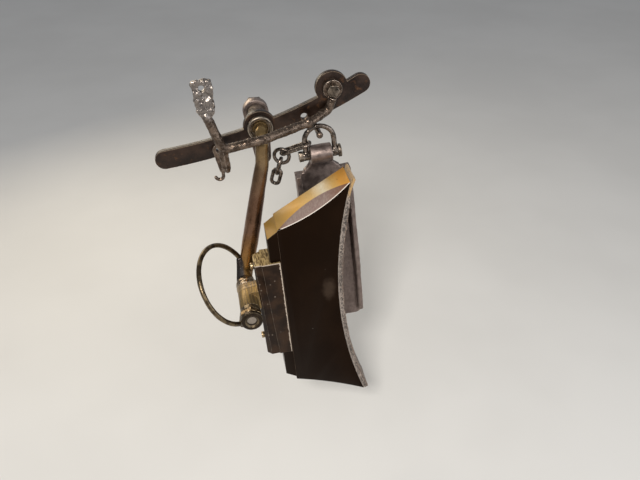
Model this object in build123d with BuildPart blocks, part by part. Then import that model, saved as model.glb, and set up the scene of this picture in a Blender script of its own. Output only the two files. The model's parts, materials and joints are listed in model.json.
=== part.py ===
"""Wheel brake gear of a horse-drawn coach, in millimetres.

X points towards the wheel, Y inwards under the coach, Z up. The origin is midway between the two
bolts of the sill iron, on the back face that goes against the coach's sill.
"""

from build123d import *
from math import cos, pi, radians, sin
import os

os.makedirs("parts", exist_ok=True)

# Clearances
RUN = 0.05          # radial play of a shaft or pin in its eye
PLAY = 0.4          # side play between pieces that move on each other
FIT = 0.1           # play of a fixed pin or bolt in its hole
PAST = 2            # how far a cut runs past what it cuts

# Sill iron: a bar on edge, curved upwards to the wheel
SILL_RADIUS = 680
SILL_SLOPE = 18     # degrees, at the origin
SILL_TALL = 25
SILL_THICK = 8
SILL_LEFT = 128     # length of the bar to each side of the origin
SILL_RIGHT = 140
SILL_EYE = 42       # width of the eye round the bearing
SILL_BOLT_PITCH = 116
SILL_BOLT_HOLE = 9

# Bearing of the brake shaft
SHAFT_X = -2
SHAFT_RISE = 8
SHAFT_DIA = 20
BEARING_FLANGE = 33
BEARING_FLANGE_THICK = 4
BEARING_RIM = 4         # width of the ring round the flange
BEARING_RIM_TALL = 3    # how far the ring stands out
BEARING_TUBE = 26
SILL_TIMBER = 38        # thickness of the coach's own sill, which the bearing's tube goes through

# Brake arm, hanging from the shaft and ending in a pin that points outwards
ARM_Y = -32
ARM_TOP_DIA = 17
ARM_KNEE_DIA = 20
ARM_FOOT_DIA = 17.5
ARM_TOP_BEND = 14
ARM_KNEE_BEND = 60
ARM_FOOT_BEND = 12
KNEE_X = -4
KNEE_DROP = 40
PIN_X = -36
PIN_DROP = 214
PIN_DIA = 15
PIN_SHOULDER_Y = -50
PIN_SINK = 3        # how far the pin's end lies inside the nut's crown
HORN_ROOT_Y = -44   # where the horn leaves the arm

# Inboard lever that the pull rod turns
LEVER_THICK = 12
LEVER_LENGTH = 66
LEVER_EYE = 34
LEVER_TIP_EYE = 22
LEVER_BORE = 10
LEVER_LEAN = 6      # degrees towards the wheel
LEVER_NUT_THICK = 10
LEVER_NUT_DIA = 30
SHAFT_STAND = 2     # how far the shaft stands out of its nut

# Rings, eye and nut on the pin, from the arm outwards
RING_DIA = 27
RING_THICK = 6.5
RING_CHAMFER = 0.8
EYE_DIA = 26
EYE_LENGTH = 46
BOW_EYE_THICK = 7.5
NUT_DIA = 30        # across its corners
NUT_THICK = 7
CROWN_DIA = 27
CROWN_THICK = 7.5
CROWN_BORE = 18
CROWN_SLOT = 4.5

# Bow: a hoop of round iron about the knuckle, in a plane of its own
BOW_ROD = 6.5
BOW_CENTRE = (-61.8, -81.4, -179.1)
BOW_NORMAL = (-0.759, 0.369, -0.536)
BOW_RADIUS = 54
BOW_START = (-42.6, -32.8, -172.8)
BOW_TURN = 196      # degrees of the hoop's round part
BOW_END = (-11.5, -15)   # from the pin's axis to the end of the bow, as X and Z
BOW_END_DIA = 9
HORN_PLAY = 0.3     # how much thicker the horn's tip is than the bow

# Brake block, its back leaning with the top away from the wheel
BLOCK_Y = -90       # outer face
BLOCK_WIDE = 42
BLOCK_TOP_X = 5.5
BLOCK_TOP_Z = -98
BLOCK_LEAN = 4.5    # degrees
BLOCK_BACK = 262
BLOCK_TOP_RISE = 33     # degrees
BLOCK_FOOT_FALL = 20    # degrees
FACE_RADIUS = 630
FACE_X = 715
FACE_Z = -167
FACING_THICK = 7
FACING_STAND = 5    # how far the facing stands above the block's top

# Hollow chamfers along the outer edges of the block's top and foot
TOP_SCOOP_INSET = 17.3
TOP_SCOOP_DROP = 7.3
FOOT_SCOOP_INSET = 10
FOOT_SCOOP_DROP = 3

# Packing between block and holder
PACKING_THICK = 14
PACKING_WIDE = 39
PACKING_SPLAY = 9.5     # how much its back is shorter at each end than its front
PACKING_SHORT = 5       # how much shorter than the block's back it is at its foot

# Holder: a channel with a thick web and an eye, bolted to the block
HOLDER_TOP = 47     # down the block's back
HOLDER_TALL = 156
HOLDER_REACH = 1.5  # from the side plates' front edges to the block's back
HOLDER_SIDE_TOP = 26    # from the block's back to the side plates' back edges
HOLDER_SIDE_FOOT = 18.5
HOLDER_PLATE = 3.5
HOLDER_BACK = 35.8  # from the block's back to the web's back
WEB_SET_IN = 1.5    # how far the web is set in from the side plates
WEB_CUT = 10        # bevel of the web's inner back corner, across and forwards
WEB_CUT_DEEP = 14
WEB_NICK_TOP = 1.5  # bevel of its outer back corner, at its top and foot
WEB_NICK_FOOT = 6
LUG_TALL = 30
CLAMP_DIA = 7.5
CLAMP_HEAD = 9
CLAMP_HEAD_THICK = 4.5
CLAMP_GRIP = 30     # depth of the bolt in the block
CLAMP_TOP = 15      # from the holder's top down to the upper bolt
CLAMP_FOOT = 19     # from its foot up to the lower bolt

# Keeper iron: a round bar in front of the arm, with a pad, a tail and a foot
KEEPER_DIA = 11.5
KEEPER_Y = -59
KEEPER_NECK = (-68, 50)         # top of the leg, as X and Z
KEEPER_CORNER = (-52.5, 5)      # where leg, bar and tail meet, as X and Z
KEEPER_BEND = (1, -50, 11)      # where the bar starts to turn back to the sill
KEEPER_RISE = (61, -27, 19)     # where it starts to rise
KEEPER_BENDS = (10, 30, 40, 8)  # radius of each bend from the leg to the foot
PAD_THICK = 8
PAD_LEFT = -83
PAD_RIGHT = -58.5
PAD_TOP = 94
PAD_FOOT = 57
PAD_CORNER = 4
PAD_NECK = 47       # height where the pad has run out into the leg
PAD_BOLT_HOLE = 8
PAD_BOLT_DOWN = 9   # from the pad's top to its bolt hole
TAIL_TIP = (-49, -25.5)
TAIL_WIDE = 12
TAIL_DEEP = 10
TAIL_TIP_WIDE = 7
TAIL_TIP_DEEP = 5
TAIL_BLUNT = 6      # length over which the tail narrows to its tip
FOOT_ALONG = 98     # along the sill iron to the keeper's foot
FOOT_RISE = 17      # from the sill iron's centre line up to the foot's bolt
FOOT_DIA = 25
FOOT_THICK = 7
FOOT_RUN = 27       # how far below its bolt the bar turns up to the foot
FOOT_LEAN = 6       # how far that turn lies beside the bolt
FOOT_BOLT_DIA = 8
FOOT_BOLT_HEAD = 16
FOOT_BOLT_THICK = 6

# Hook on the keeper's bar
HOOK_DIA = 8
HOOK_KNUCKLE = (57, -28, 18)
HOOK_KNUCKLE_DIA = 15
HOOK_OVER = (59, -20.5, 17)     # over the shackle's shoulder
HOOK_BEHIND = (65.5, -12.9, 12) # down behind the shackle
HOOK_BENDS = (6, 5, 4)
HOOK_BACK = 8.1     # from the shackle's middle back to the hook's bend
HOOK_FRONT = 10     # and forwards to its tip
HOOK_TIP_DIA = 9.5

# Strap with a small hook, hung on the sill iron's left bolt
STRAP_THICK = 4
STRAP_EYE = 18
STRAP_FOOT = (-53, -46)
STRAP_FOOT_WIDE = 9
STRAP_HOOK_ROD = 4.5
STRAP_HOOK_RADIUS = 5

# Shackle of the drag shoe, leaning with it about the hook
HANG_X = 71
HANG_Y = -21
HANG_Z = 1.4
HANG_LEAN = 6       # degrees
SHACKLE_ROD = 7
SHACKLE_WIDE = 38   # between the rods' centre lines
SHACKLE_TALL = 31   # from the hook's centre down to the shackle's pin
SHACKLE_EAR = 13
SHACKLE_EAR_THICK = 8
SHACKLE_PIN = 6.5
SHACKLE_CAP = 17
SHACKLE_CAP_THICK = 4
SHACKLE_NUT = 14
SHACKLE_NUT_THICK = 6

# Drag shoe: a rolled eye, a neck and a trough with round-topped cheeks
SHOE_EYE_DIA = 25
SHOE_NECK_DOWN = 13     # from the pin's axis to the narrowest place of the neck
SHOE_SHOULDER_DOWN = 27 # from the pin's axis to the shoulders
SHOE_HOLLOW = 8         # how near the hollow between neck and shoulder comes to the corner
SHOE_WIDE = 74
SHOE_LONG = 256         # from the shoulders to the foot
SHOE_SOLE = 8
SHOE_CHEEK = 7
SHOE_CHEEK_LIFT = 9     # how far the cheeks stand above the shoulders
SHOE_DEEP = 18          # from the sole's back to the cheeks' front edges at the ends
SHOE_CROWN = 9          # how much deeper the cheeks are at the middle
SHOE_CHEEK_ROUND = 6
SHOE_FOOT_ROUND = 10

# Chain hung on the shackle: a long link, a ring and common links
CHAIN_ROD = 5
CHAIN_PLAY = 0.5
CHAIN_DOWN = 15             # from the hook's centre down to where the chain holds the shackle
LONG_LINK = (41, 13.6)      # length and width between centre lines
LONG_LINK_SLOPE = 26        # degrees
CHAIN_DRIFT = 14            # how far back the chain runs along the long link
CHAIN_RING = 20             # across its centre line
COMMON_LINK = (22, 10.5)
COMMON_LEAN = 15            # degrees
COMMON_LINKS = 2


def side(y):
    """The plane at y as seen from outside: local x is X, local y is Z."""
    return Plane.XZ.offset(-y)


def behind(down, out):
    """The point a length down the block's back and a distance behind it, as X and Z."""
    lean = radians(BLOCK_LEAN)
    x = BLOCK_TOP_X + down * sin(lean) - out * cos(lean)
    z = BLOCK_TOP_Z - down * cos(lean) - out * sin(lean)
    return (x, z)


# Sill iron
sill_tilt = radians(SILL_SLOPE)
sill_centre = (-SILL_RADIUS * sin(sill_tilt), SILL_RADIUS * cos(sill_tilt))
sill_left_turn = SILL_LEFT / SILL_RADIUS * 180 / pi
sill_right_turn = SILL_RIGHT / SILL_RADIUS * 180 / pi


def along_sill(length):
    """The point on the sill iron's centre line at a length from the origin, as X and Z."""
    angle = sill_tilt + length / SILL_RADIUS
    return (
        sill_centre[0] + SILL_RADIUS * sin(angle),
        sill_centre[1] - SILL_RADIUS * cos(angle),
    )


half_pitch = SILL_BOLT_PITCH / 2
sill_holes = [(s * half_pitch * cos(sill_tilt), s * half_pitch * sin(sill_tilt)) for s in (-1, 1)]
foot_seat = along_sill(FOOT_ALONG)
foot_bolt_place = (foot_seat[0], foot_seat[1] + FOOT_RISE)
shaft_place = (SHAFT_X, SHAFT_RISE)

with BuildPart() as sill_iron:
    with BuildSketch(side(0)):
        with BuildLine() as sill_line:
            CenterArc(
                sill_centre,
                SILL_RADIUS,
                SILL_SLOPE - 90 - sill_left_turn,
                sill_left_turn + sill_right_turn,
            )
        SlotArc(sill_line.wires()[0], SILL_TALL)
        with Locations(shaft_place, foot_bolt_place):
            Circle(SILL_EYE / 2)
        with Locations(shaft_place):
            Circle(BEARING_TUBE / 2 + FIT, mode=Mode.SUBTRACT)
        with Locations(*sill_holes):
            Circle(SILL_BOLT_HOLE / 2, mode=Mode.SUBTRACT)
        with Locations(foot_bolt_place):
            Circle(FOOT_BOLT_DIA / 2 + FIT, mode=Mode.SUBTRACT)
    extrude(amount=SILL_THICK)

# Bearing: a turned tube with a flange and a ring round it, its profile given outwards from the
# sill iron's back and up from the shaft's axis
flange_front = SILL_THICK + BEARING_FLANGE_THICK
rim_front = flange_front + BEARING_RIM_TALL
with BuildPart() as bearing:
    turning = Plane(origin=(SHAFT_X, 0, SHAFT_RISE), x_dir=(0, -1, 0), z_dir=(1, 0, 0))
    with BuildSketch(turning):
        with BuildLine():
            Polyline(
                (-SILL_TIMBER, SHAFT_DIA / 2 + RUN),
                (-SILL_TIMBER, BEARING_TUBE / 2),
                (SILL_THICK, BEARING_TUBE / 2),
                (SILL_THICK, BEARING_FLANGE / 2),
                (rim_front - 1, BEARING_FLANGE / 2),
                (rim_front, BEARING_FLANGE / 2 - 1),
                (rim_front, BEARING_FLANGE / 2 - BEARING_RIM),
                (flange_front, BEARING_FLANGE / 2 - BEARING_RIM - 1),
                (flange_front, SHAFT_DIA / 2 + RUN),
                close=True,
            )
        make_face()
    revolve(axis=Axis((SHAFT_X, 0, SHAFT_RISE), (0, 1, 0)))

# Keeper iron
keeper_foot_y = -SILL_THICK - KEEPER_DIA / 2 - PLAY
neck = (KEEPER_NECK[0], KEEPER_Y, KEEPER_NECK[1])
pad_bolt_place = ((PAD_LEFT + PAD_RIGHT) / 2, PAD_TOP - PAD_BOLT_DOWN)
with BuildPart() as keeper_iron:
    with BuildLine() as keeper_line:
        FilletPolyline(
            neck,
            (KEEPER_CORNER[0], KEEPER_Y, KEEPER_CORNER[1]),
            KEEPER_BEND,
            KEEPER_RISE,
            (foot_bolt_place[0] - FOOT_LEAN, keeper_foot_y, foot_bolt_place[1] - FOOT_RUN),
            (foot_bolt_place[0], keeper_foot_y, foot_bolt_place[1] - FOOT_DIA / 2 + PAST),
            radius=list(KEEPER_BENDS),
        )
    with BuildSketch(Plane(origin=keeper_line.line @ 0, z_dir=keeper_line.line % 0)):
        Circle(KEEPER_DIA / 2)
    sweep(path=keeper_line.wires()[0])
    with Locations(neck):
        Sphere(KEEPER_DIA / 2)
    # Pad, running out into the leg
    with BuildSketch(side(KEEPER_Y + PAD_THICK / 2)) as pad:
        with BuildLine():
            Polyline(
                (PAD_LEFT, PAD_TOP),
                (PAD_RIGHT, PAD_TOP),
                (PAD_RIGHT, PAD_FOOT),
                (KEEPER_NECK[0] + KEEPER_DIA / 2, PAD_NECK),
                (KEEPER_NECK[0] - KEEPER_DIA / 2 + 1, PAD_NECK),
                (PAD_LEFT + PAD_CORNER, PAD_FOOT),
                close=True,
            )
        make_face()
        fillet(pad.vertices().filter_by_position(Axis.Y, PAD_FOOT - 1, PAD_TOP + 1), PAD_CORNER)
    extrude(amount=PAD_THICK)
    # Tail, four-sided with a ridge, its sections level
    tail_sections = (
        (KEEPER_CORNER[0], KEEPER_CORNER[1], TAIL_WIDE, TAIL_DEEP),
        (TAIL_TIP[0] - 1, TAIL_TIP[1] + TAIL_BLUNT, TAIL_WIDE, TAIL_DEEP),
        (TAIL_TIP[0], TAIL_TIP[1], TAIL_TIP_WIDE, TAIL_TIP_DEEP),
    )
    for x, z, wide, deep in tail_sections:
        with BuildSketch(Plane(origin=(x, KEEPER_Y, z), z_dir=(0, 0, -1))):
            with BuildLine():
                Polyline((-wide / 2, 0), (0, -deep / 2), (wide / 2, 0), (0, deep / 2), close=True)
            make_face()
    loft(ruled=True)
    with BuildSketch(side(-SILL_THICK)):
        with Locations(foot_bolt_place):
            Circle(FOOT_DIA / 2)
    extrude(amount=FOOT_THICK)
    with BuildSketch(side(0)):
        with Locations(pad_bolt_place):
            Circle(PAD_BOLT_HOLE / 2)
    extrude(amount=-2 * KEEPER_Y, mode=Mode.SUBTRACT)
    with BuildSketch(side(0)):
        with Locations(foot_bolt_place):
            Circle(FOOT_BOLT_DIA / 2 + FIT)
    extrude(amount=SILL_THICK + FOOT_THICK + PAST, mode=Mode.SUBTRACT)
    # Hook for the shackle
    with Locations(HOOK_KNUCKLE):
        Sphere(HOOK_KNUCKLE_DIA / 2)
    hook_tip = (HANG_X, HANG_Y - HOOK_FRONT, HANG_Z)
    with BuildLine() as hook_line:
        FilletPolyline(
            HOOK_KNUCKLE,
            HOOK_OVER,
            HOOK_BEHIND,
            (HANG_X, HANG_Y + HOOK_BACK, HANG_Z),
            hook_tip,
            radius=list(HOOK_BENDS),
        )
    with BuildSketch(Plane(origin=hook_line.line @ 0, z_dir=hook_line.line % 0)):
        Circle(HOOK_DIA / 2)
    sweep(path=hook_line.wires()[0])
    with Locations(hook_tip):
        Sphere(HOOK_TIP_DIA / 2)

with BuildPart() as keeper_bolt:
    with BuildSketch(side(0)):
        with Locations(foot_bolt_place):
            Circle(FOOT_BOLT_DIA / 2)
    extrude(amount=SILL_THICK + FOOT_THICK)
    with BuildSketch(side(-SILL_THICK - FOOT_THICK)):
        with Locations(foot_bolt_place):
            RegularPolygon(FOOT_BOLT_HEAD / 2, 6)
    extrude(amount=FOOT_BOLT_THICK)

# Strap with its hook
strap_y = -SILL_THICK - STRAP_THICK
strap_rod_y = -SILL_THICK - STRAP_THICK / 2
with BuildPart() as strap_hook:
    with BuildSketch(side(-SILL_THICK)):
        with Locations(sill_holes[0]):
            Circle(STRAP_EYE / 2)
        with Locations(STRAP_FOOT):
            Circle(STRAP_FOOT_WIDE / 2)
        make_hull()
        with Locations(sill_holes[0]):
            Circle(SILL_BOLT_HOLE / 2, mode=Mode.SUBTRACT)
    extrude(amount=STRAP_THICK)
    with BuildLine() as strap_line:
        strap_drop = Line(
            (STRAP_FOOT[0], strap_y, STRAP_FOOT[1] + 2),
            (STRAP_FOOT[0], strap_y, STRAP_FOOT[1] - 9),
        )
        ThreePointArc(
            strap_drop @ 1,
            (STRAP_FOOT[0] - STRAP_HOOK_RADIUS, strap_y, STRAP_FOOT[1] - 9 - STRAP_HOOK_RADIUS),
            (STRAP_FOOT[0] - 2 * STRAP_HOOK_RADIUS, strap_y, STRAP_FOOT[1] - 9),
        )
    with BuildSketch(Plane(origin=strap_drop @ 0, z_dir=(0, 0, -1))):
        Circle(STRAP_HOOK_ROD / 2)
    sweep(path=strap_line.wires()[0])

# Brake arm with its shaft, its pin and the horn that starts the bow
pin_z = SHAFT_RISE - PIN_DROP
pin_place = (PIN_X, pin_z)
lever_y = SILL_TIMBER + PLAY
shaft_end_y = lever_y + LEVER_THICK + LEVER_NUT_THICK + SHAFT_STAND
eye_y = PIN_SHOULDER_Y - 2 * RING_THICK - 2 * PLAY
bow_eye_y = eye_y - EYE_LENGTH - PLAY
nut_y = bow_eye_y - BOW_EYE_THICK
crown_y = nut_y - NUT_THICK
pin_end_y = crown_y - CROWN_THICK + PIN_SINK

bow_plane = Plane(origin=BOW_CENTRE, z_dir=BOW_NORMAL)
bow_start = bow_plane.to_local_coords(Vector(*BOW_START))
bow_end = bow_plane.to_local_coords(
    Vector(PIN_X + BOW_END[0], bow_eye_y - BOW_EYE_THICK / 2, pin_z + BOW_END[1])
)
start_angle = Vector(bow_start.X, bow_start.Y, 0).get_signed_angle(Vector(1, 0, 0), Vector(0, 0, -1))
with BuildLine(bow_plane) as bow_line:
    hoop = CenterArc((0, 0), BOW_RADIUS, start_angle, -BOW_TURN)
    TangentArc(hoop @ 1, bow_plane.from_local_coords(Vector(bow_end.X, bow_end.Y, 0)), tangent=hoop % 1)
bow_path = bow_line.wires()[0]
horn_tip = Plane(origin=hoop @ 0, z_dir=hoop % 0)

with BuildPart() as brake_arm:
    with BuildLine() as arm_line:
        FilletPolyline(
            (SHAFT_X, -SILL_THICK, SHAFT_RISE),
            (SHAFT_X, ARM_Y, SHAFT_RISE),
            (KNEE_X, ARM_Y, SHAFT_RISE - KNEE_DROP),
            (PIN_X, ARM_Y, pin_z),
            (PIN_X, PIN_SHOULDER_Y, pin_z),
            radius=[ARM_TOP_BEND, ARM_KNEE_BEND, ARM_FOOT_BEND],
        )
    arm_path = arm_line.wires()[0]
    arm_widths = ((0, ARM_TOP_DIA), (0.16, ARM_TOP_DIA), (0.45, ARM_KNEE_DIA), (1, ARM_FOOT_DIA))
    for share, dia in arm_widths:
        with BuildSketch(Plane(origin=arm_path @ share, z_dir=arm_path % share)):
            Circle(dia / 2)
    sweep(path=arm_path, multisection=True)
    with BuildSketch(side(shaft_end_y)):
        with Locations(shaft_place):
            Circle(SHAFT_DIA / 2)
    extrude(amount=shaft_end_y + SILL_THICK + BEARING_FLANGE_THICK + PAST)
    with BuildSketch(side(PIN_SHOULDER_Y)):
        with Locations(pin_place):
            Circle(RING_DIA / 2)
    extrude(amount=RING_THICK)
    with BuildSketch(side(PIN_SHOULDER_Y)):
        with Locations(pin_place):
            Circle(PIN_DIA / 2)
    extrude(amount=PIN_SHOULDER_Y - pin_end_y)
    with BuildSketch(side(HORN_ROOT_Y)):
        with Locations(pin_place):
            Circle(ARM_FOOT_DIA / 2)
    with BuildSketch(horn_tip):
        Circle(BOW_ROD / 2 + HORN_PLAY)
    loft()

with BuildPart() as pin_ring:
    with BuildSketch(side(PIN_SHOULDER_Y - RING_THICK - PLAY)):
        with Locations(pin_place):
            Circle(RING_DIA / 2)
            Circle(PIN_DIA / 2 + FIT, mode=Mode.SUBTRACT)
    extrude(amount=RING_THICK)
    chamfer(pin_ring.edges().filter_by(GeomType.CIRCLE).sort_by(SortBy.LENGTH)[-2:], RING_CHAMFER)

# Nut with a slotted crown
with BuildPart() as pin_nut:
    with BuildSketch(side(nut_y)):
        with Locations(pin_place):
            RegularPolygon(NUT_DIA / 2, 6)
            Circle(PIN_DIA / 2 + FIT, mode=Mode.SUBTRACT)
    extrude(amount=NUT_THICK)
    with BuildSketch(side(crown_y)):
        with Locations(pin_place):
            Circle(CROWN_DIA / 2)
            Circle(CROWN_BORE / 2, mode=Mode.SUBTRACT)
    extrude(amount=CROWN_THICK)
    with BuildSketch(side(crown_y - PIN_SINK)):
        for turn in (0, 60, 120):
            with Locations(pin_place):
                Rectangle(NUT_DIA, CROWN_SLOT, rotation=turn)
    extrude(amount=CROWN_THICK, mode=Mode.SUBTRACT)

# Bow
with BuildPart() as bow:
    with BuildSketch(horn_tip):
        Circle(BOW_ROD / 2)
    sweep(path=bow_path)
    with BuildSketch(side(bow_eye_y)):
        with Locations(pin_place):
            Circle(RING_DIA / 2)
        with Locations((PIN_X + BOW_END[0], pin_z + BOW_END[1])):
            Circle(BOW_END_DIA / 2)
        make_hull()
        with Locations(pin_place):
            Circle(PIN_DIA / 2 + FIT, mode=Mode.SUBTRACT)
    extrude(amount=BOW_EYE_THICK)

# Inboard lever
lever_turn = radians(LEVER_LEAN)
lever_tip = (SHAFT_X + LEVER_LENGTH * sin(lever_turn), SHAFT_RISE - LEVER_LENGTH * cos(lever_turn))
with BuildPart() as lever:
    with BuildSketch(side(lever_y + LEVER_THICK)):
        with Locations(shaft_place):
            Circle(LEVER_EYE / 2)
        with Locations(lever_tip):
            Circle(LEVER_TIP_EYE / 2)
        make_hull()
        with Locations(shaft_place):
            Circle(SHAFT_DIA / 2 + FIT, mode=Mode.SUBTRACT)
        with Locations(lever_tip):
            Circle(LEVER_BORE / 2, mode=Mode.SUBTRACT)
    extrude(amount=LEVER_THICK)

with BuildPart() as lever_nut:
    with BuildSketch(side(lever_y + LEVER_THICK + LEVER_NUT_THICK)):
        with Locations(shaft_place):
            RegularPolygon(LEVER_NUT_DIA / 2, 6)
            Circle(SHAFT_DIA / 2 + FIT, mode=Mode.SUBTRACT)
    extrude(amount=LEVER_NUT_THICK)

# Brake block
block_top = behind(0, 0)
block_foot = behind(BLOCK_BACK, 0)
block_mid_y = BLOCK_Y + BLOCK_WIDE / 2
holder_foot = HOLDER_TOP + HOLDER_TALL
clamp_downs = (HOLDER_TOP + CLAMP_TOP, holder_foot - CLAMP_FOOT)


def meets_face(point, slope):
    """Where a line from a point, rising at a slope in degrees, meets the circle of the face."""
    dx = cos(radians(slope))
    dz = sin(radians(slope))
    px = point[0] - FACE_X
    pz = point[1] - FACE_Z
    half = px * dx + pz * dz
    reach = -half - (half * half - px * px - pz * pz + FACE_RADIUS * FACE_RADIUS) ** 0.5
    return (point[0] + reach * dx, point[1] + reach * dz)


def clamp_plane(down, out):
    """The plane square to a clamp bolt, at a length down the back and a distance behind it."""
    x, z = behind(down, out)
    return Plane(
        origin=(x, block_mid_y, z), z_dir=(cos(radians(BLOCK_LEAN)), 0, sin(radians(BLOCK_LEAN)))
    )


def scoop_cut(start, end, inset, drop):
    """The plane along a hollow chamfer of the outer edge between two points, and its radius."""
    edge = Vector(end[0] - start[0], 0, end[1] - start[1])
    outwards = Vector(0, -1, 0).cross(edge).normalized()
    deep = inset * drop / (inset**2 + drop**2) ** 0.5
    radius = edge.length**2 / (8 * deep) + deep / 2
    across = (Vector(0, 1, 0) * inset + outwards * drop).normalized()
    away = (outwards * inset - Vector(0, 1, 0) * drop).normalized()
    middle = Vector((start[0] + end[0]) / 2, BLOCK_Y, (start[1] + end[1]) / 2)
    return Plane(origin=middle + away * (radius - deep), z_dir=across), radius


face_top = meets_face(block_top, BLOCK_TOP_RISE)
face_foot = meets_face(block_foot, -BLOCK_FOOT_FALL)
face_mid = (FACE_X - FACE_RADIUS, FACE_Z)
scoops = (
    scoop_cut(block_top, face_top, TOP_SCOOP_INSET, TOP_SCOOP_DROP),
    scoop_cut(face_foot, block_foot, FOOT_SCOOP_INSET, FOOT_SCOOP_DROP),
)

with BuildPart() as brake_block:
    with BuildSketch(side(BLOCK_Y + BLOCK_WIDE)):
        with BuildLine():
            Line(face_foot, block_foot)
            Line(block_foot, block_top)
            Line(block_top, face_top)
            ThreePointArc(face_top, face_mid, face_foot)
        make_face()
    extrude(amount=BLOCK_WIDE)
    for plane, radius in scoops:
        with BuildSketch(plane):
            Circle(radius)
        extrude(amount=BLOCK_WIDE, both=True, mode=Mode.SUBTRACT)
    for down in clamp_downs:
        with BuildSketch(clamp_plane(down, PAST)):
            Circle(CLAMP_DIA / 2 + FIT)
        extrude(amount=CLAMP_GRIP + 2 * PAST, mode=Mode.SUBTRACT)

# Facing on the block
skin_radius = FACE_RADIUS - FIT
wear_radius = skin_radius - FACING_THICK
stand_turn = FACING_STAND / FACE_RADIUS * 180 / pi
turn_top = Vector(face_top[0] - FACE_X, face_top[1] - FACE_Z, 0).get_angle(Vector(-1, 0, 0))
turn_foot = Vector(face_foot[0] - FACE_X, face_foot[1] - FACE_Z, 0).get_angle(Vector(-1, 0, 0))


def on_face(radius, turn):
    """The point on a circle about the face's centre, a turn in degrees above its middle."""
    return (FACE_X - radius * cos(radians(turn)), FACE_Z + radius * sin(radians(turn)))


facing_top = turn_top + stand_turn
with BuildPart() as facing:
    with BuildSketch(side(BLOCK_Y + BLOCK_WIDE)):
        with BuildLine():
            back = ThreePointArc(
                on_face(skin_radius, facing_top),
                on_face(skin_radius, 0),
                on_face(skin_radius, -turn_foot),
            )
            front = ThreePointArc(
                on_face(wear_radius, facing_top),
                on_face(wear_radius, 0),
                on_face(wear_radius, -turn_foot),
            )
            Line(back @ 0, front @ 0)
            Line(back @ 1, front @ 1)
        make_face()
    extrude(amount=BLOCK_WIDE)

# Packing
with BuildPart() as packing:
    with BuildSketch(side(BLOCK_Y + PACKING_WIDE)):
        with BuildLine():
            Polyline(
                behind(1, 0),
                behind(1 + PACKING_SPLAY, PACKING_THICK),
                behind(BLOCK_BACK - PACKING_SHORT - PACKING_SPLAY, PACKING_THICK),
                behind(BLOCK_BACK - PACKING_SHORT, 0),
                close=True,
            )
        make_face()
    extrude(amount=PACKING_WIDE)
    for down in clamp_downs:
        with BuildSketch(clamp_plane(down, PACKING_THICK + PAST)):
            Circle(CLAMP_DIA / 2 + FIT)
        extrude(amount=PACKING_THICK + 2 * PAST, mode=Mode.SUBTRACT)

# Holder
channel_y = BLOCK_Y + PACKING_WIDE + FIT
channel_wide = PACKING_WIDE + 2 * FIT
holder_wide = channel_wide + 2 * HOLDER_PLATE
holder_mid_y = BLOCK_Y + PACKING_WIDE / 2
web_half = holder_wide / 2 - WEB_SET_IN
lean = radians(BLOCK_LEAN)
pin_down = (PIN_X - BLOCK_TOP_X) * sin(lean) - (pin_z - BLOCK_TOP_Z) * cos(lean)
pin_out = -(PIN_X - BLOCK_TOP_X) * cos(lean) - (pin_z - BLOCK_TOP_Z) * sin(lean)


def across_back(down):
    """The plane square to the block's back: local x runs inwards, local y away from the block."""
    x, z = behind(down, 0)
    return Plane(origin=(x, holder_mid_y, z), x_dir=(0, 1, 0), z_dir=(-sin(lean), 0, cos(lean)))


with BuildPart() as holder:
    with BuildSketch(side(channel_y + HOLDER_PLATE)):
        with BuildLine():
            Polyline(
                behind(HOLDER_TOP, HOLDER_REACH),
                behind(HOLDER_TOP, HOLDER_SIDE_TOP),
                behind(holder_foot, HOLDER_SIDE_FOOT),
                behind(holder_foot, HOLDER_REACH),
                close=True,
            )
        make_face()
    extrude(amount=holder_wide)
    for down, nick in ((HOLDER_TOP, WEB_NICK_TOP), (holder_foot, WEB_NICK_FOOT)):
        with BuildSketch(across_back(down)):
            with BuildLine():
                Polyline(
                    (-web_half, PACKING_THICK),
                    (-web_half, HOLDER_BACK - nick),
                    (-web_half + nick, HOLDER_BACK),
                    (web_half - WEB_CUT, HOLDER_BACK),
                    (web_half, HOLDER_BACK - WEB_CUT_DEEP),
                    (web_half, PACKING_THICK),
                    close=True,
                )
            make_face()
    loft(ruled=True)
    with BuildSketch(side(channel_y)):
        with BuildLine():
            Polyline(
                behind(HOLDER_TOP - PAST, -PAST),
                behind(HOLDER_TOP - PAST, PACKING_THICK),
                behind(holder_foot + PAST, PACKING_THICK),
                behind(holder_foot + PAST, -PAST),
                close=True,
            )
        make_face()
    extrude(amount=channel_wide, mode=Mode.SUBTRACT)
    with BuildSketch(side(eye_y)):
        with BuildLine():
            Polyline(
                behind(pin_down - LUG_TALL / 2, HOLDER_BACK - PAST),
                behind(pin_down - EYE_DIA / 2, pin_out),
                behind(pin_down + EYE_DIA / 2, pin_out),
                behind(pin_down + LUG_TALL / 2, HOLDER_BACK - PAST),
                close=True,
            )
        make_face()
    extrude(amount=eye_y - BLOCK_Y)
    with BuildSketch(side(eye_y)):
        with Locations(pin_place):
            Circle(EYE_DIA / 2)
    extrude(amount=EYE_LENGTH)
    with BuildSketch(side(eye_y)):
        with Locations(pin_place):
            Circle(PIN_DIA / 2 + RUN)
    extrude(amount=EYE_LENGTH, mode=Mode.SUBTRACT)
    for down in clamp_downs:
        with BuildSketch(clamp_plane(down, HOLDER_BACK + PAST)):
            Circle(CLAMP_DIA / 2 + FIT)
        extrude(amount=HOLDER_BACK - PACKING_THICK + 2 * PAST, mode=Mode.SUBTRACT)

with BuildPart() as clamp_bolts:
    for down in clamp_downs:
        with BuildSketch(clamp_plane(down, HOLDER_BACK)):
            Circle(CLAMP_DIA / 2)
        extrude(amount=HOLDER_BACK + CLAMP_GRIP)
        with BuildSketch(clamp_plane(down, HOLDER_BACK + CLAMP_HEAD_THICK)):
            Circle(CLAMP_HEAD / 2)
        extrude(amount=CLAMP_HEAD_THICK)

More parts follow.
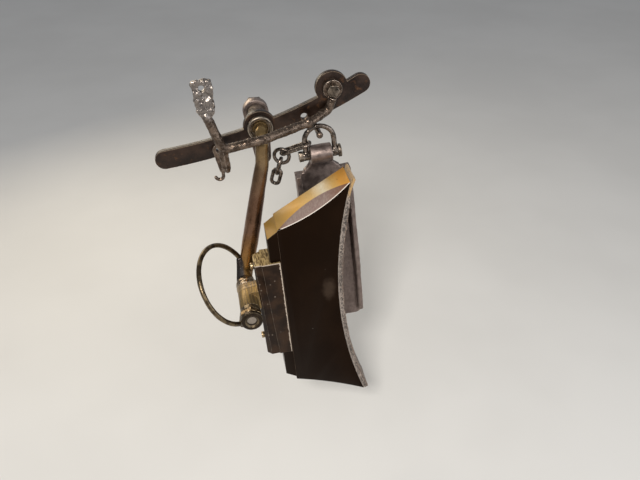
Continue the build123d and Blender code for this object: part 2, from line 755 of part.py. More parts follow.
# Shackle and drag shoe, both leaning about the hook
hang = Plane(
    origin=(HANG_X, HANG_Y, HANG_Z),
    x_dir=(cos(radians(HANG_LEAN)), 0, sin(radians(HANG_LEAN))),
    z_dir=(0, -1, 0),
)
arch_top = (HOOK_DIA + SHACKLE_ROD) / 2 + PLAY
half_wide = SHACKLE_WIDE / 2
arch_foot = arch_top - half_wide


def hang_point(across, rise, out=0):
    """A point given across, up and outwards from the hook, leaning with the drag shoe."""
    return hang.from_local_coords(Vector(across, rise, out))


def across_plane(across):
    """The plane square to the shackle's pin at a place across, its normal along the pin."""
    return Plane(origin=hang_point(across, -SHACKLE_TALL), x_dir=(0, -1, 0), z_dir=hang.x_dir)


with BuildPart() as shackle:
    with BuildLine(hang) as shackle_line:
        Line((-half_wide, -SHACKLE_TALL), (-half_wide, arch_foot))
        ThreePointArc((-half_wide, arch_foot), (0, arch_top), (half_wide, arch_foot))
        Line((half_wide, arch_foot), (half_wide, -SHACKLE_TALL))
    shackle_path = shackle_line.wires()[0]
    with BuildSketch(Plane(origin=shackle_path @ 0, z_dir=shackle_path % 0)):
        Circle(SHACKLE_ROD / 2)
    sweep(path=shackle_path)
    for across in (-half_wide, half_wide):
        with BuildSketch(across_plane(across - SHACKLE_EAR_THICK / 2)):
            Circle(SHACKLE_EAR / 2)
        extrude(amount=SHACKLE_EAR_THICK)
    with BuildSketch(across_plane(-SHACKLE_WIDE)):
        Circle(SHACKLE_PIN / 2 + FIT)
    extrude(amount=2 * SHACKLE_WIDE, mode=Mode.SUBTRACT)

ear_out = half_wide + SHACKLE_EAR_THICK / 2
with BuildPart() as shackle_pin:
    with BuildSketch(across_plane(-ear_out - SHACKLE_NUT_THICK)):
        RegularPolygon(SHACKLE_NUT / 2, 6)
    extrude(amount=SHACKLE_NUT_THICK)
    with BuildSketch(across_plane(-ear_out)):
        Circle(SHACKLE_PIN / 2)
    extrude(amount=2 * ear_out)
    with BuildSketch(across_plane(ear_out)):
        Circle(SHACKLE_CAP / 2)
    extrude(amount=SHACKLE_CAP_THICK)

# Drag shoe, given across, up and outwards from the hook
shoe_eye_half = half_wide - SHACKLE_EAR_THICK / 2 - PLAY
neck_rise = -SHACKLE_TALL - SHOE_NECK_DOWN
shoulder_rise = -SHACKLE_TALL - SHOE_SHOULDER_DOWN
foot_rise = shoulder_rise - SHOE_LONG
cheek_top = shoulder_rise + SHOE_CHEEK_LIFT
sole_back = -SHOE_EYE_DIA / 2
cheek_front = sole_back + SHOE_DEEP
shoe_half = SHOE_WIDE / 2
with BuildPart() as drag_shoe:
    with BuildSketch(across_plane(-shoe_eye_half)):
        Circle(SHOE_EYE_DIA / 2)
    extrude(amount=2 * shoe_eye_half)
    with BuildSketch(hang.offset(sole_back)) as sole:
        with BuildLine():
            for hand in (-1, 1):
                Line((hand * shoe_eye_half, -SHACKLE_TALL), (hand * shoe_eye_half, neck_rise))
                ThreePointArc(
                    (hand * shoe_eye_half, neck_rise),
                    (hand * (shoe_eye_half + SHOE_HOLLOW), shoulder_rise + SHOE_HOLLOW / 2),
                    (hand * shoe_half, shoulder_rise),
                )
                Line((hand * shoe_half, shoulder_rise), (hand * shoe_half, foot_rise))
            Line((-shoe_half, foot_rise), (shoe_half, foot_rise))
            Line((-shoe_eye_half, -SHACKLE_TALL), (shoe_eye_half, -SHACKLE_TALL))
        make_face()
        fillet(sole.vertices().group_by(Axis.Y)[0], SHOE_FOOT_ROUND)
    extrude(amount=SHOE_SOLE)
    for across in (SHOE_CHEEK - shoe_half, shoe_half):
        cheek_plane = Plane(origin=hang_point(across, 0), x_dir=(0, -1, 0), z_dir=-hang.x_dir)
        with BuildSketch(cheek_plane) as cheek:
            with BuildLine():
                Polyline(
                    (cheek_front, cheek_top),
                    (sole_back, cheek_top),
                    (sole_back, foot_rise + SHOE_FOOT_ROUND),
                    (cheek_front, foot_rise + SHOE_FOOT_ROUND),
                )
                ThreePointArc(
                    (cheek_front, foot_rise + SHOE_FOOT_ROUND),
                    (cheek_front + SHOE_CROWN, (cheek_top + foot_rise) / 2),
                    (cheek_front, cheek_top),
                )
            make_face()
            fillet(cheek.vertices(), SHOE_CHEEK_ROUND)
        extrude(amount=SHOE_CHEEK)
    with BuildSketch(across_plane(-shoe_eye_half - PAST)):
        Circle(SHACKLE_PIN / 2 + RUN)
    extrude(amount=2 * (shoe_eye_half + PAST), mode=Mode.SUBTRACT)

# Chain: each link is given by its middle, the way it runs and the way its width runs
slope = radians(LONG_LINK_SLOPE)
link_gap = CHAIN_ROD + CHAIN_PLAY
long_way = Vector(-cos(slope), CHAIN_DRIFT / LONG_LINK[0], -sin(slope)).normalized()
level_way = Vector(long_way.X, long_way.Y, 0).normalized()
cross_way = level_way.cross(Vector(0, 0, 1))
hold_gap = (SHACKLE_ROD + CHAIN_ROD) / 2 + CHAIN_PLAY
long_middle = hang_point(-half_wide, -CHAIN_DOWN) + long_way * (LONG_LINK[0] / 2 - hold_gap)
long_end = long_middle + long_way * (LONG_LINK[0] / 2)
ring_middle = long_end + Vector(0, 0, link_gap - CHAIN_RING / 2)
common_lean = radians(COMMON_LEAN)
common_way = level_way * sin(common_lean) - Vector(0, 0, cos(common_lean))
links = [(long_middle, long_way, cross_way, LONG_LINK)]
link_top = ring_middle + common_way * (CHAIN_RING / 2 - link_gap)
for number in range(COMMON_LINKS):
    width_way = (cross_way, common_way.cross(cross_way))[number % 2]
    links.append((link_top + common_way * (COMMON_LINK[0] / 2), common_way, width_way, COMMON_LINK))
    link_top = link_top + common_way * (COMMON_LINK[0] - link_gap)

with BuildPart() as chain:
    with Locations(Plane(origin=ring_middle, z_dir=cross_way)):
        Torus(CHAIN_RING / 2, CHAIN_ROD / 2)
    for middle, way, width_way, (long, wide) in links:
        flat = Plane(origin=middle, x_dir=way, z_dir=way.cross(width_way))
        straight = (long - wide) / 2
        with BuildLine(flat) as link_line:
            Line((-straight, wide / 2), (straight, wide / 2))
            Line((-straight, -wide / 2), (straight, -wide / 2))
            ThreePointArc((straight, wide / 2), (long / 2, 0), (straight, -wide / 2))
            ThreePointArc((-straight, wide / 2), (-long / 2, 0), (-straight, -wide / 2))
        link_path = link_line.wires()[0]
        with BuildSketch(Plane(origin=link_path @ 0, z_dir=link_path % 0)):
            Circle(CHAIN_ROD / 2)
        sweep(path=link_path)

pieces = {
    "sill_iron": sill_iron,
    "bearing": bearing,
    "keeper_iron": keeper_iron,
    "keeper_bolt": keeper_bolt,
    "strap_hook": strap_hook,
    "brake_arm": brake_arm,
    "pin_ring": pin_ring,
    "pin_nut": pin_nut,
    "bow": bow,
    "lever": lever,
    "lever_nut": lever_nut,
    "brake_block": brake_block,
    "facing": facing,
    "packing": packing,
    "holder": holder,
    "clamp_bolts": clamp_bolts,
    "shackle": shackle,
    "shackle_pin": shackle_pin,
    "drag_shoe": drag_shoe,
    "chain": chain,
}
for name, piece in pieces.items():
    piece.part.label = name
    export_step(piece.part, f"parts/{name}.step")
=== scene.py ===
import json
import math

import bmesh
import bpy
from mathutils import Matrix, Vector, noise


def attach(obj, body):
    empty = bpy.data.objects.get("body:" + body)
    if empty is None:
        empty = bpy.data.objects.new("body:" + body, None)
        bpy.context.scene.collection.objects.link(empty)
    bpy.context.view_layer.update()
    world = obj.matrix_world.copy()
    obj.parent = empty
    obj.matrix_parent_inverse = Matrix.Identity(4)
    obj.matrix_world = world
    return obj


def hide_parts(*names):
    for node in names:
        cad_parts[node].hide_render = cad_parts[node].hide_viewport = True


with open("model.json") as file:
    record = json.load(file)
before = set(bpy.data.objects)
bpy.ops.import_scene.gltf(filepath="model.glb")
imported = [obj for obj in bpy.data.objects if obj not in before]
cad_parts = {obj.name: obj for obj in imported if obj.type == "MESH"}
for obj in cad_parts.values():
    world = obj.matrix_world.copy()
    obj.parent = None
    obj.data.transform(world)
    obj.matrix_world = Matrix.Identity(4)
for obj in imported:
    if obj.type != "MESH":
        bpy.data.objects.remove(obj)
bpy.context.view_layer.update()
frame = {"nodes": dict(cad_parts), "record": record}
nodes = frame["nodes"]
record = frame["record"]
scene = bpy.context.scene
body_of = {
    node: body for body, members in record["behaviour"]["bodies"].items() for node in members
}

MM = 0.001

# Camera: where the photograph was taken from, its view's right, down and forward directions, and
# its lens and sensor in millimetres
CAMERA_PLACE = (-0.07544, -0.82774, 0.38192)
CAMERA_RIGHT = Vector((0.98343, -0.18127, 0))
CAMERA_DOWN = Vector((-0.10056, -0.54555, -0.83203))
CAMERA_FORWARD = Vector((0.15083, 0.81824, -0.55474))
CAMERA_LENS = 39.375
CAMERA_SENSOR = 36
CAMERA_NEAR = 0.01

# Floor and light, in metres and watts, the floor's clouds in millimetres
FLOOR_HEIGHT = -0.52
FLOOR_REACH = 6.0
FLOOR_CLOUD = 400
FLOOR_COLOURS = ((0.66, 0.65, 0.63), (0.7, 0.69, 0.67))
FLOOR_ROUGHNESS = 0.8
SKY_COLOUR = (0.92, 0.95, 1, 1)
SKY_STRENGTH = 0.32
MIDDLE = (0.0, -0.05, -0.12)
# Name, place, target, size, power, colour
LIGHTS = (
    ("key", (-0.5, -1.5, 1.2), MIDDLE, 0.35, 36, (1, 0.96, 0.9)),
    ("fill", (1.4, -1.2, 0.5), MIDDLE, 1.2, 12, (0.95, 0.97, 1)),
    ("back", (-0.45, 0.85, 0.35), (0.03, -0.07, -0.1), 0.6, 6, (1, 0.88, 0.68)),
)

# Places and sizes on the part, in millimetres

# The knuckle pin's axis runs along Y through this X and Z
PIN_X = -36
PIN_Z = -206
PIN_ROOT = (-36, -48, -206)
# The horn is a tapered bar from the pin's root up along the arm
HORN_TIP = (-42.6, -32.8, -172.8)
HORN_ROOT_RADIUS = 13
HORN_TIP_RADIUS = 3.6
# Middle, direction and radius at each end of the horn
HORN = ((PIN_ROOT, (0, 1, 0), HORN_ROOT_RADIUS), (HORN_TIP, (-0.18, 0.41, 0.89), HORN_TIP_RADIUS))
# Its colour comes in over these distances along -Y and -X, and reaches this far round it, where it
# fades over the last part
HORN_FROM_Y = (28, 33)
HORN_FROM_X = (34, 39)
HORN_MARGIN = 3.5
HORN_FADE = 2
# Y between which the rings on the pin are made larger, and by how much, and Y from which the pin's
# own colour and its end's start
RING_ZONE = (-49.6, -63.7)
RING_SWELL = 1.025
PIN_FROM = -49.5
PIN_END_FROM = -118
# Outline of the nut: reach from the pin's axis, Y, and one where it is six-sided
NUT_PROFILE = (
    (7.6, -117.7, 0), (12.2, -117.7, 0), (13.0, -118.5, 1), (13.0, -123.8, 1), (12.6, -124.7, 0),
    (12.2, -124.9, 0), (12.2, -125.6, 0), (13.6, -125.8, 0), (14.3, -126.5, 0), (14.3, -130.2, 0),
    (13.6, -131.4, 0), (12.2, -132.2, 0), (9.8, -132.2, 0), (9.2, -131.8, 0), (7.0, -129.9, 0),
    (6.2, -129.7, 0), (6.2, -129.4, 0), (7.6, -129.4, 0),
)
NUT_SIDES = 72
NUT_SHARP = math.radians(28)
# Y from which its crown starts, and between which -Y of its normals it is rubbed, and how much
CROWN_FROM = -126
CROWN_SLOPES = (0.3, 0.8)
CROWN_WEAR = 0.25

# Least Z of a normal that looks upwards, and least -Y of one that looks outwards
UPWARDS = 0.45
OUTWARDS = 0.3
# Y of the block's outer side, Y over which the painted highlight on the lip of its upper hollow chamfer
# ends, and how far in from that side its rims end and its hollow chamfers start
BLOCK_OUTSIDE = -90
BLOCK_LIP = (-89.2, -88.7)
RIM_ENDS = 0.9
SCOOP_STARTS = 0.6
# The normals' Y and least Z on the hollow chamfers and on the rim below the upper one
SCOOP_NORMAL = ((-0.6, -0.2), 0.4)
RIM_NORMAL = ((-0.97, -0.5), 0.15)
# The smudge on the block's outer side, and one over its size along each axis
SMUDGE_PLACE = (73, -90, -199)
SMUDGE_SQUEEZE = (1 / 11, 1 / 30, 1 / 22)

# The way out of the block's back, and how far that way the holder's worn edge and its eye lie
BACK_WAY = (-math.cos(math.radians(4.5)), 0, -math.sin(math.radians(4.5)))
BACK_EDGE = 7.5
EYE_START = 38.5
# A place on the holder's sloping top and the way out of it, how far that way its worn edge lies,
# and the Z from which the top starts
TOP_SLOPE = ((-26.5, -93.6, -147.7), (-0.0785, 0.13, 0.9969))
TOP_EDGE = -158.2
TOP_FROM = -160

# The facing is bent about an axis along Y, and its skin lies against the block at this radius
FACE_X = 715
FACE_Z = -167
SKIN_RADIUS = 629.9
FACING_THICK = 7
# Z from which its tip bends away from the block, by this much times the rise squared
BEND_FROM = -66
BEND = 0.0022
# Z over which its tip gets thinner, and by what share
THIN_FROM = (-78, -48)
THIN_SHARE = 0.5
# Z over which the tip's and the fringe's colours come in
TIP_FROM = (-62, -50)
FRINGE_FROM = (-75, -55)
# Ranges over which colours come in: of how far the skin lies above a point, and of how far a point
# lies above the side that rubs on the wheel
SKIN_FADE = (-2.2, -0.8)
WORN_FADE = (-1.5, -0.5)
FRINGE_FADE = (-1.2, -0.4)
# Places of the tufts on the facing's edge, and how far each stands out
TUFTS = (((95.8, -90, -105.5), 2.2), ((88.5, -90, -131), 1.3), ((93.5, -88, -78), 1.4))
TUFT_SPREAD = 3.5

# The hook from which the shackle hangs, the lean of what hangs there, and the thinning round it
HANG_PLACE = (71, -21, 1.4)
HANG_LEAN = math.radians(6)
HOOK_ZONE = 17
HOOK_THINNER = 0.35
# The drag shoe's shoulders below the hook, and how far out they start
SHOULDER_RISE = -58
SHOULDER_REACH = 24

# The keeper iron's pad lies to the left of this X and comes in over these Z
PAD_X = -50
PAD_FROM = (42, 54)
PAD_WAVES = ((8.0, 2.4), (3.8, 1.1))

# Making of the meshes: how near doubled points lie in millimetres, the angles under which faces are
# made one, over which edges are bevelled and over which they are drawn sharp, and how far in metres
# each layer of waves is shifted from the last
DOUBLED = 0.01
FLAT = math.radians(0.6)
BEVELLED = math.radians(35)
SHARP = math.radians(40)
LAYER_SHIFT = 0.37

# Colours

CLOUDY = (0.36, 0.64)
BARE_METAL = 0.85
# The painted warm reflection on the block's top, with a painted pale highlight near X 74: X in
# millimetres and the colour there
TOP_REFLECTION = (
    (0, (0.3, 0.17, 0.04)), (18, (0.34, 0.21, 0.065)), (40, (0.56, 0.31, 0.07)),
    (60, (0.6, 0.4, 0.16)), (74, (0.64, 0.56, 0.4)), (86, (0.58, 0.36, 0.12)),
    (96, (0.58, 0.28, 0.055)), (110, (0.5, 0.24, 0.05)),
)
TOP_REFLECTION_STREAK = (0.33, 0.19, 0.06)
TOP_REFLECTION_STAIN = (0.22, 0.1, 0.035)
# The hollow chamfers' painted grey reflection, dusty, whose two ends along X are darker
SCOOP_REFLECTION_COLOURS = ((0.2, 0.13, 0.115), (0.3, 0.225, 0.2))
SCOOP_DUST = (0.27, 0.23, 0.19)
SCOOP_END = (0.17, 0.075, 0.035)
SCOOP_ENDS = ((0, (0, 0, 0)), (22, (1, 1, 1)), (68, (1, 1, 1)), (98, (0, 0, 0)))
BLACK_COLOURS = ((0.0035, 0.0014, 0.0007), (0.0065, 0.0028, 0.0013))
BLACK_GRAIN = (0.02, 0.011, 0.006)
BLACK_RUBBED = (0.3, 0.22, 0.16)
DUST_SPECK = (0.5, 0.47, 0.43)
SMUDGE_COLOUR = (0.05, 0.034, 0.024)
# Painted highlight, near white, on the lip of the upper hollow chamfer and on the rounded rim below it
HIGHLIGHT_WHITE = (0.78, 0.7, 0.62)
LACQUER_GLOSS = 1.2
LACQUER_TINT = (1, 0.6, 0.36, 1)
LEATHER_COLOURS = ((0.13, 0.1, 0.082), (0.26, 0.21, 0.18))
LEATHER_PIT = (0.03, 0.022, 0.017)
LEATHER_SPECK = (0.5, 0.42, 0.34)
LEATHER_SKIN = (0.3, 0.25, 0.21)
LEATHER_RUBBED = ((0.06, 0.035, 0.022), (0.19, 0.12, 0.075))
LEATHER_TIP = (0.4, 0.25, 0.1)
LEATHER_FRINGE = (0.66, 0.5, 0.3)
LEATHER_ROUGHNESS = 0.72
LEATHER_SHEEN = 0.25
# The holder's eye and its two rings, a dark line beside each: Y in millimetres and the colour
EYE_GOLD = (0.2, 0.14, 0.07)
EYE_LINE = (0.03, 0.02, 0.012)
EYE_RING = ((0.28, 0.21, 0.14), (0.3, 0.23, 0.16))
EYE_BANDS = (
    (-112, (0.15, 0.105, 0.055)), (-80, (0.21, 0.145, 0.07)), (-77.5, EYE_GOLD),
    (-77, (0.015, 0.01, 0.006)), (-76, (0.015, 0.01, 0.006)), (-75.5, EYE_RING[1]),
    (-71, EYE_RING[0]), (-70.6, EYE_LINE), (-70, EYE_LINE), (-69.6, EYE_RING[1]), (-63, EYE_RING[0]),
)
# The arm: Z in millimetres and the colour there
ARM_COLOURS = (
    (-195, (0.12, 0.075, 0.035)), (-165, (0.36, 0.19, 0.05)), (-140, (0.3, 0.15, 0.05)),
    (-110, (0.18, 0.098, 0.058)), (-60, (0.16, 0.088, 0.054)), (-15, (0.2, 0.135, 0.075)),
    (15, (0.34, 0.23, 0.1)),
)


# Camera and lights


def add_camera():
    """A camera that sees the part as the photograph does."""
    data = bpy.data.cameras.new("camera")
    data.lens = CAMERA_LENS
    data.sensor_width = CAMERA_SENSOR
    data.clip_start = CAMERA_NEAR
    camera = bpy.data.objects.new("camera", data)
    scene.collection.objects.link(camera)
    turn = Matrix((CAMERA_RIGHT, -CAMERA_DOWN, -CAMERA_FORWARD)).transposed()
    camera.matrix_world = Matrix.Translation(CAMERA_PLACE) @ turn.to_4x4()
    scene.camera = camera


def area_light(name, place, target, size, power, colour):
    """A soft square light that points at a place and isn't seen itself."""
    data = bpy.data.lights.new(name, "AREA")
    data.shape = "SQUARE"
    data.size = size
    data.energy = power
    data.color = colour
    light = bpy.data.objects.new(name, data)
    scene.collection.objects.link(light)
    light.location = place
    light.rotation_euler = (Vector(target) - Vector(place)).to_track_quat("-Z", "Y").to_euler()
    light.visible_camera = False


# Shader nodes


def add_node(tree, kind, inputs=None, **settings):
    """A shader node with its settings and its inputs, each a value or another node's output."""
    node = tree.nodes.new(kind)
    for key, value in settings.items():
        setattr(node, key, value)
    for key, value in (inputs or {}).items():
        if isinstance(value, bpy.types.NodeSocket):
            tree.links.new(value, node.inputs[key])
        else:
            node.inputs[key].default_value = value
    return node


def vector_maths(tree, operation, a, b=(0, 0, 0), output="Vector"):
    """Two vectors put together by one operation."""
    return add_node(tree, "ShaderNodeVectorMath", {0: a, 1: b}, operation=operation).outputs[output]


def maths(tree, operation, a, b=0.0):
    """Two values put together by one operation."""
    return add_node(tree, "ShaderNodeMath", {0: a, 1: b}, operation=operation).outputs[0]


def times(tree, a, b):
    """Two values multiplied."""
    return maths(tree, "MULTIPLY", a, b)


def stretched(tree, place, scale):
    """The place, scaled along each axis, so that a texture is drawn out where that is under one."""
    return vector_maths(tree, "MULTIPLY", place, scale)


def new_material(name):
    """An empty material, its node tree and shader, and the place in millimetres."""
    material = bpy.data.materials.new(name)
    material.use_nodes = True
    tree = material.node_tree
    shader = tree.nodes["Principled BSDF"]
    coords = add_node(tree, "ShaderNodeTexCoord")
    place = stretched(tree, coords.outputs["Object"], (1 / MM, 1 / MM, 1 / MM))
    return material, tree, shader, place


def axis_of(tree, place, axis):
    """One coordinate of a place."""
    return add_node(tree, "ShaderNodeSeparateXYZ", {0: place}).outputs[axis]


def along_way(tree, place, way):
    """How far a place lies along a direction."""
    return vector_maths(tree, "DOT_PRODUCT", place, way, "Value")


def noise_value(tree, place, size, detail=3.0, rough=0.55):
    """A cloudy texture whose patches measure about size millimetres."""
    return add_node(
        tree, "ShaderNodeTexNoise",
        {"Vector": place, "Scale": 1 / size, "Detail": detail, "Roughness": rough},
    ).outputs["Fac"]


def spots(tree, place, size):
    """Distance from the nearest of scattered points about size millimetres apart."""
    return add_node(
        tree, "ShaderNodeTexVoronoi", {"Vector": place, "Scale": 1 / size}
    ).outputs["Distance"]


def ramp(tree, value, low, high, from_value=0.0, to_value=1.0, kind="SMOOTHSTEP"):
    """A value that goes from one to another, smoothly, as the given one goes from low to high."""
    return add_node(
        tree, "ShaderNodeMapRange",
        {"Value": value, "From Min": low, "From Max": high, "To Min": from_value, "To Max": to_value},
        interpolation_type=kind,
    ).outputs["Result"]


def mix(tree, share, a, b):
    """Two colours mixed by a share."""
    node = tree.nodes.new("ShaderNodeMix")
    node.data_type = "RGBA"
    for socket, value in ((node.inputs[0], share), (node.inputs[6], a), (node.inputs[7], b)):
        if isinstance(value, bpy.types.NodeSocket):
            tree.links.new(value, socket)
        elif socket.type == "RGBA":
            socket.default_value = (*value, 1)
        else:
            socket.default_value = value
    return node.outputs[2]


def spread(tree, value, stops):
    """A colour that follows a value through stops, each a value and a colour."""
    low = stops[0][0]
    high = stops[-1][0]
    node = add_node(
        tree, "ShaderNodeValToRGB", {"Fac": ramp(tree, value, low, high, kind="LINEAR")}
    )
    elements = node.color_ramp.elements
    elements[0].color = (*stops[0][1], 1)
    elements[1].color = (*stops[-1][1], 1)
    for at, colour in stops[1:-1]:
        elements.new((at - low) / (high - low)).color = (*colour, 1)
    return node.outputs["Color"]


def attribute(tree, name):
    """A value stored on the mesh, nought where the mesh has none of that name."""
    return add_node(tree, "ShaderNodeAttribute", attribute_name=name).outputs["Fac"]


def bump(tree, height, depth):
    """A bump of a depth in millimetres."""
    return add_node(
        tree, "ShaderNodeBump", {"Height": height, "Strength": 1.0, "Distance": depth * MM}
    ).outputs["Normal"]


def link(tree, shader, **sockets):
    """Link outputs to the shader's inputs, named with underscores for spaces."""
    for name, value in sockets.items():
        tree.links.new(value, shader.inputs[name.replace("_", " ")])


# Materials


def worn_lines(tree, place):
    """Where the holder's side is worn bright: ragged lines at its edges, and scattered specks."""
    uneven = noise_value(tree, place, 3, 5, 0.7)
    behind = maths(tree, "ADD", along_way(tree, place, BACK_WAY), times(tree, uneven, 5.5))
    back_line = ramp(tree, behind, BACK_EDGE, BACK_EDGE + 0.5, 0.9, 0)
    above = maths(tree, "ADD", along_way(tree, place, TOP_SLOPE[1]), times(tree, uneven, 1.5))
    top_line = ramp(tree, above, TOP_EDGE, TOP_EDGE + 0.4, 0, 0.9)
    specks = ramp(tree, spots(tree, place, 8), 0.08, 0.13, 0.45, 0)
    bright = maths(tree, "MAXIMUM", back_line, maths(tree, "MAXIMUM", top_line, specks))
    return times(tree, attribute(tree, "side"), bright)


def iron(
    name, dark, light, worn, rough, metallic=BARE_METAL, patch=14, pits=0.12, gloss=1.5,
    wear=None, rust=None, heights=None, parts=(), bands=None, stripes=(), lines=None, metal=None,
):
    """Iron with cloudy colour, pits and rubbed edges.

    Dark, light and worn are colours, rough its lowest and highest roughness, patch and pits the
    size of its clouds and the depth of its pits. Wear is the range of pointiness over which it is
    rubbed bright, else its bevels are. Rust is a colour. Heights are stops of colour along Z. Parts
    are marks on the mesh, each with a colour. Bands are a mark and stops of colour along Y there.
    Stripes are marks with the colour and share of fine lines drawn along Y. Lines is a function
    that gives where it is worn bright, and metal is a mark where it is bare metal.
    """
    material, tree, shader, place = new_material(name)
    clouds = noise_value(tree, place, patch, 5)
    grain = noise_value(tree, place, 1.6, 4, 0.7)
    colour = mix(tree, ramp(tree, clouds, *CLOUDY), dark, light)
    if heights:
        height = maths(tree, "ADD", axis_of(tree, place, "Z"), times(tree, clouds, 30))
        colour = mix(tree, ramp(tree, clouds, *CLOUDY, 0.45, 0), spread(tree, height, heights), dark)
    for mark, tint in parts:
        cloudy = mix(tree, ramp(tree, clouds, *CLOUDY, 0.3, 0), tint, dark)
        colour = mix(tree, attribute(tree, mark), colour, cloudy)
    if bands:
        mark, stops = bands
        banded = spread(tree, axis_of(tree, place, "Y"), stops)
        colour = mix(tree, attribute(tree, mark), colour, banded)
    for mark, tint, share in stripes:
        fine = noise_value(tree, stretched(tree, place, (1, 0.07, 1)), 1.6, 3)
        drawn = times(tree, attribute(tree, mark), ramp(tree, fine, 0.42, 0.58, 0, share))
        colour = mix(tree, drawn, colour, tint)
    soot = tuple(channel * 0.45 for channel in dark)
    colour = mix(tree, ramp(tree, grain, 0.5, 0.75, 0, 0.5), colour, soot)
    if wear:
        edge = ramp(tree, add_node(tree, "ShaderNodeNewGeometry").outputs["Pointiness"], *wear)
    else:
        edge = attribute(tree, "edge")
    rubbed = times(tree, edge, ramp(tree, grain, 0.34, 0.6, 0.25, 1))
    colour = mix(tree, rubbed, colour, worn)
    if rust:
        rusty = ramp(tree, noise_value(tree, place, 9, 6, 0.65), 0.56, 0.68, 0, 0.8)
        colour = mix(tree, rusty, colour, rust)
    if lines:
        colour = mix(tree, lines(tree, place), colour, worn)
    roughness = ramp(tree, maths(tree, "ADD", clouds, grain), 0.8, 1.2, *rough)
    pitting = ramp(tree, spots(tree, place, 2.6), 0, 0.35, -0.8, 0.4)
    skin = bump(tree, maths(tree, "ADD", grain, pitting), pits)
    link(tree, shader, Base_Color=colour, Roughness=roughness, Normal=skin)
    shader.inputs["Metallic"].default_value = metallic
    shader.inputs["IOR"].default_value = gloss
    if metal:
        link(tree, shader, Metallic=ramp(tree, attribute(tree, metal), 0, 1, metallic, BARE_METAL))
    return material


def smudge(tree, place):
    """How dull the lacquer is at a smudge on the block's outer side, ragged at its edge."""
    away = stretched(tree, vector_maths(tree, "SUBTRACT", place, SMUDGE_PLACE), SMUDGE_SQUEEZE)
    radius = vector_maths(tree, "LENGTH", away, output="Value")
    ragged = maths(tree, "ADD", radius, times(tree, noise_value(tree, place, 8, 4), 0.9))
    return ramp(tree, ragged, 0.75, 1.5, 1, 0)


def painted_top_reflection(tree, place, along_x, streaks):
    """The painted warm reflection on the block's top, streaked and stained."""
    wavy = maths(tree, "ADD", along_x, times(tree, noise_value(tree, place, 30, 3), 14))
    colour = mix(tree, ramp(tree, streaks, 0.5, 0.75, 0, 0.3), spread(tree, wavy, TOP_REFLECTION), TOP_REFLECTION_STREAK)
    stains = ramp(tree, noise_value(tree, place, 9, 4), 0.66, 0.72, 0, 0.5)
    return mix(tree, stains, colour, TOP_REFLECTION_STAIN)


def painted_scoop_reflection(tree, clouds, along_x, streaks):
    """The painted grey reflection in the hollow chamfers, dusty, and darker at their ends."""
    colour = mix(tree, ramp(tree, streaks, 0.3, 0.75), *SCOOP_REFLECTION_COLOURS)
    colour = mix(tree, ramp(tree, clouds, 0.35, 0.65, 0, 0.5), colour, SCOOP_DUST)
    return mix(tree, spread(tree, along_x, SCOOP_ENDS), SCOOP_END, colour)


def lacquer(name):
    """Black lacquer on wood, dusty and smudged, with painted reflections on its top and in the hollow
    chamfers and a painted highlight on the upper chamfer's edge.
    """
    material, tree, shader, place = new_material(name)
    grain = noise_value(tree, stretched(tree, place, (1, 1, 0.05)), 1.1, 5, 0.7)
    streaks = noise_value(tree, stretched(tree, place, (1, 0.3, 0.06)), 1.1, 3, 0.5)
    clouds = noise_value(tree, place, 60, 3)
    along_x = axis_of(tree, place, "X")
    colour = mix(tree, ramp(tree, clouds, 0.35, 0.7), *BLACK_COLOURS)
    colour = mix(tree, ramp(tree, grain, 0.6, 0.85, 0, 0.16), colour, BLACK_GRAIN)
    colour = mix(tree, ramp(tree, spots(tree, place, 27), 0.011, 0.018, 0.8, 0), colour, DUST_SPECK)
    dull = smudge(tree, place)
    colour = mix(tree, times(tree, dull, 0.6), colour, SMUDGE_COLOUR)
    # Painted warm reflection, with a painted highlight, on the up-facing top
    colour = mix(tree, attribute(tree, "top"), colour, painted_top_reflection(tree, place, along_x, streaks))
    # Painted grey reflection in the hollow chamfers
    colour = mix(tree, attribute(tree, "scoop"), colour, painted_scoop_reflection(tree, clouds, along_x, streaks))
    outer = ramp(tree, axis_of(tree, place, "Y"), *BLOCK_LIP, 1, 0)
    # Painted highlight along the outer lip of the upper hollow chamfer
    colour = mix(tree, times(tree, attribute(tree, "lip"), outer), colour, HIGHLIGHT_WHITE)
    rubbed = times(tree, attribute(tree, "edge"), ramp(tree, grain, 0.4, 0.62, 0.2, 0.7))
    colour = mix(tree, rubbed, colour, BLACK_RUBBED)
    # Painted highlight on the rim below the upper hollow chamfer
    colour = mix(tree, attribute(tree, "rim"), colour, HIGHLIGHT_WHITE)
    roughness = ramp(tree, maths(tree, "ADD", clouds, grain), 0.8, 1.3, 0.28, 0.4)
    roughness = maths(tree, "ADD", roughness, times(tree, dull, 0.2))
    roughness = maths(tree, "ADD", roughness, times(tree, attribute(tree, "scoop"), 0.3))
    link(tree, shader, Base_Color=colour, Roughness=roughness, Normal=bump(tree, grain, 0.02))
    shader.inputs["IOR"].default_value = LACQUER_GLOSS
    shader.inputs["Specular Tint"].default_value = LACQUER_TINT
    return material


